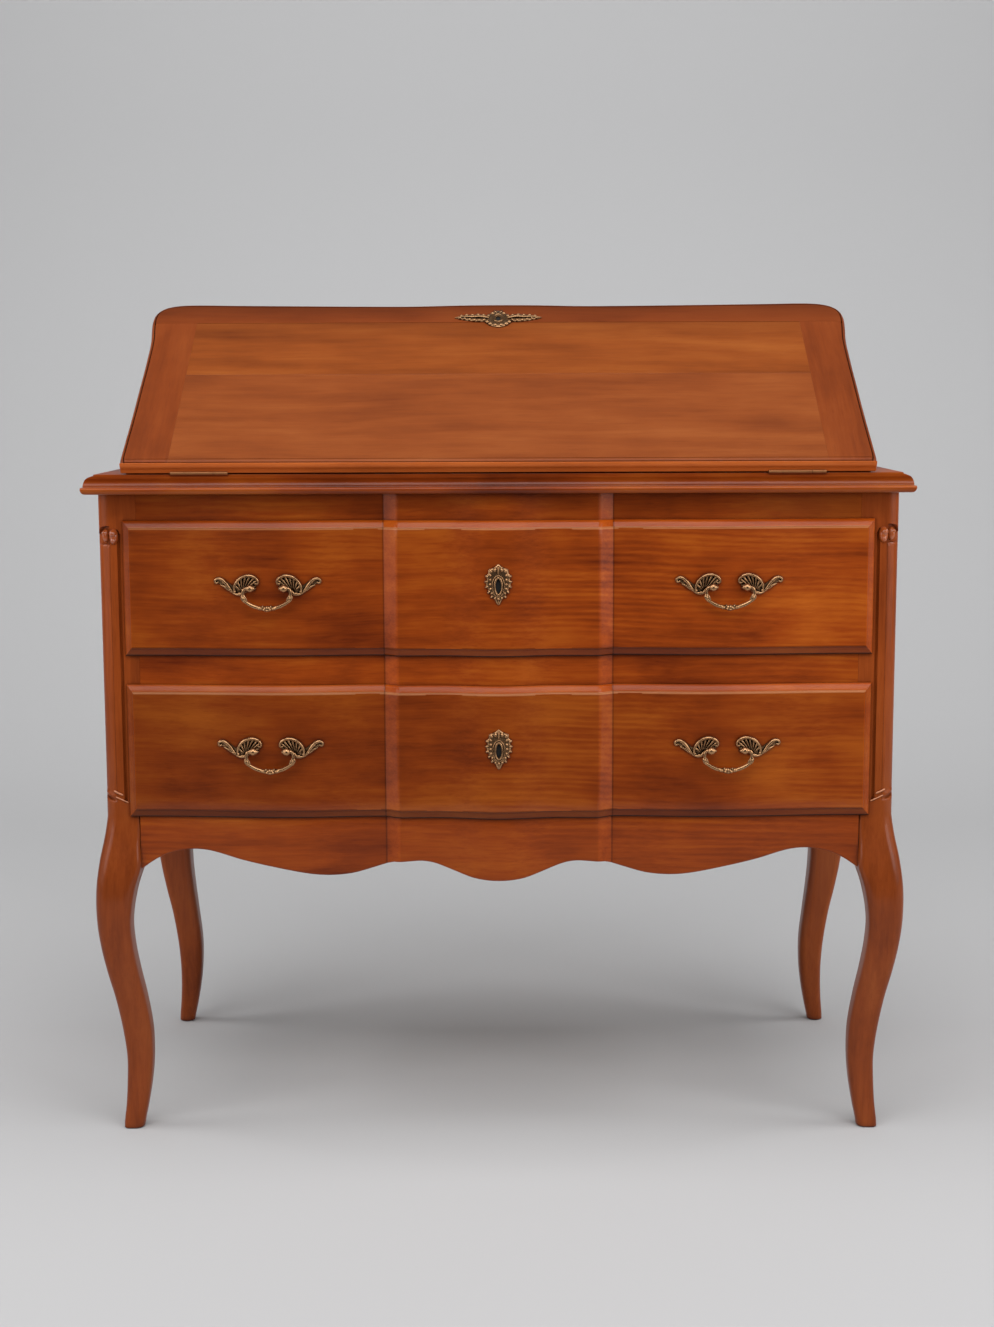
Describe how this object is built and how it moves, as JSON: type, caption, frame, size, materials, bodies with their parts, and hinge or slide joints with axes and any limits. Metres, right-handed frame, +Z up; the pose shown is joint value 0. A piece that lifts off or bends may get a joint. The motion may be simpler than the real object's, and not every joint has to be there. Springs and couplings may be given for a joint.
{
  "type": "slant-front writing desk",
  "caption": "Slant-front writing desk on cabriole legs: a hinged fall on folding stays over a fitted interior, above long bowed drawers with swinging bail handles.",
  "frame": {"origin": "floor, under the middle of the desk's overall box", "axes": "+Z up, -Y the front where the drawers open, +X to the viewer's right"},
  "size_m": [0.9504, 0.48, 0.9848],
  "materials": {
    "cherry": "satin",
    "inner_wood": "matte",
    "brass": "aged",
    "steel": "dull"
  },
  "bodies": {
    "case": {"front_left_leg": "cherry", "front_right_leg": "cherry", "rear_left_leg": "cherry", "rear_right_leg": "cherry", "front_top_rail": "cherry", "front_middle_rail": "cherry", "front_apron": "cherry", "left_side_panel": "cherry", "right_side_panel": "cherry", "left_side_apron": "cherry", "right_side_apron": "cherry", "lower_back_panel": "inner_wood", "rear_apron": "cherry", "drawer_runners": "inner_wood", "desk_board": "cherry", "upper_left_side": "cherry", "upper_right_side": "cherry", "top_board": "cherry", "upper_back_panel": "inner_wood", "fitment_shelf": "cherry", "drawer_partitions": "cherry", "pigeonhole_partitions": "cherry", "case_hinge_leaves": "brass", "hinge_pins": "brass", "stay_brackets": "brass"},
    "fall": {"fall_escutcheon": "brass", "fall_hinge_leaves": "brass", "fall_left_stile": "cherry", "fall_lock": "steel", "fall_lower_board": "cherry", "fall_right_stile": "cherry", "fall_stay_lugs": "brass", "fall_top_rail": "cherry", "fall_upper_board": "cherry"},
    "upper_drawer": {"upper_drawer_back": "inner_wood", "upper_drawer_bottom": "inner_wood", "upper_drawer_escutcheon": "brass", "upper_drawer_front": "cherry", "upper_drawer_lock": "steel", "upper_drawer_sides": "inner_wood", "upper_handle_plates": "brass"},
    "upper_left_bail_body": {"upper_left_bail": "brass"},
    "upper_right_bail_body": {"upper_right_bail": "brass"},
    "lower_drawer": {"lower_drawer_back": "inner_wood", "lower_drawer_bottom": "inner_wood", "lower_drawer_escutcheon": "brass", "lower_drawer_front": "cherry", "lower_drawer_lock": "steel", "lower_drawer_sides": "inner_wood", "lower_handle_plates": "brass"},
    "lower_left_bail_body": {"lower_left_bail": "brass"},
    "lower_right_bail_body": {"lower_right_bail": "brass"},
    "small_left": {"small_left_drawer": "cherry"},
    "small_middle": {"small_middle_drawer": "cherry"},
    "small_right": {"small_right_drawer": "cherry"},
    "left_stay_rear": {"left_stay_rear_arm": "brass"},
    "left_stay_front": {"left_stay_front_arm": "brass"},
    "right_stay_rear": {"right_stay_rear_arm": "brass"},
    "right_stay_front": {"right_stay_front_arm": "brass"}
  },
  "joints": [
    {"name": "fall_hinge", "type": "hinge", "parent": "case", "child": "fall", "pos_m": [0, -0.224, 0.787], "axis": [1, 0, 0], "range_deg": [0, 147]},
    {"name": "upper_drawer_slide", "type": "slide", "parent": "case", "child": "upper_drawer", "axis": [0, -1, 0], "range_m": [0, 0.3]},
    {"name": "upper_left_bail_swing", "type": "hinge", "parent": "upper_drawer", "child": "upper_left_bail_body", "pos_m": [-0.264, -0.22804, 0.656], "axis": [-1, 0, 0], "range_deg": [0, 85]},
    {"name": "upper_right_bail_swing", "type": "hinge", "parent": "upper_drawer", "child": "upper_right_bail_body", "pos_m": [0.264, -0.22804, 0.656], "axis": [-1, 0, 0], "range_deg": [0, 85]},
    {"name": "lower_drawer_slide", "type": "slide", "parent": "case", "child": "lower_drawer", "axis": [0, -1, 0], "range_m": [0, 0.3]},
    {"name": "lower_left_bail_swing", "type": "hinge", "parent": "lower_drawer", "child": "lower_left_bail_body", "pos_m": [-0.264, -0.22804, 0.467], "axis": [-1, 0, 0], "range_deg": [0, 85]},
    {"name": "lower_right_bail_swing", "type": "hinge", "parent": "lower_drawer", "child": "lower_right_bail_body", "pos_m": [0.264, -0.22804, 0.467], "axis": [-1, 0, 0], "range_deg": [0, 85]},
    {"name": "small_left_slide", "type": "slide", "parent": "case", "child": "small_left", "axis": [0, -1, 0], "range_m": [0, 0.085]},
    {"name": "small_middle_slide", "type": "slide", "parent": "case", "child": "small_middle", "axis": [0, -1, 0], "range_m": [0, 0.085]},
    {"name": "small_right_slide", "type": "slide", "parent": "case", "child": "small_right", "axis": [0, -1, 0], "range_m": [0, 0.085]},
    {"name": "left_stay_case_pivot", "type": "hinge", "parent": "case", "child": "left_stay_rear", "pos_m": [-0.4038, -0.106, 0.811], "axis": [1, 0, 0], "range_deg": [0, 147]},
    {"name": "left_stay_fall_pivot", "type": "hinge", "parent": "fall", "child": "left_stay_front", "pos_m": [-0.3995, -0.11846, 0.84481], "axis": [1, 0, 0], "range_deg": [-147, 0]},
    {"name": "right_stay_case_pivot", "type": "hinge", "parent": "case", "child": "right_stay_rear", "pos_m": [0.4038, -0.106, 0.811], "axis": [1, 0, 0], "range_deg": [0, 147]},
    {"name": "right_stay_fall_pivot", "type": "hinge", "parent": "fall", "child": "right_stay_front", "pos_m": [0.3995, -0.11846, 0.84481], "axis": [1, 0, 0], "range_deg": [-147, 0]}
  ],
  "couplings": [
    {"joint": "left_stay_case_pivot", "follows": "fall_hinge", "ratio": 1},
    {"joint": "left_stay_fall_pivot", "follows": "fall_hinge", "ratio": -1},
    {"joint": "right_stay_case_pivot", "follows": "fall_hinge", "ratio": 1},
    {"joint": "right_stay_fall_pivot", "follows": "fall_hinge", "ratio": -1}
  ]
}
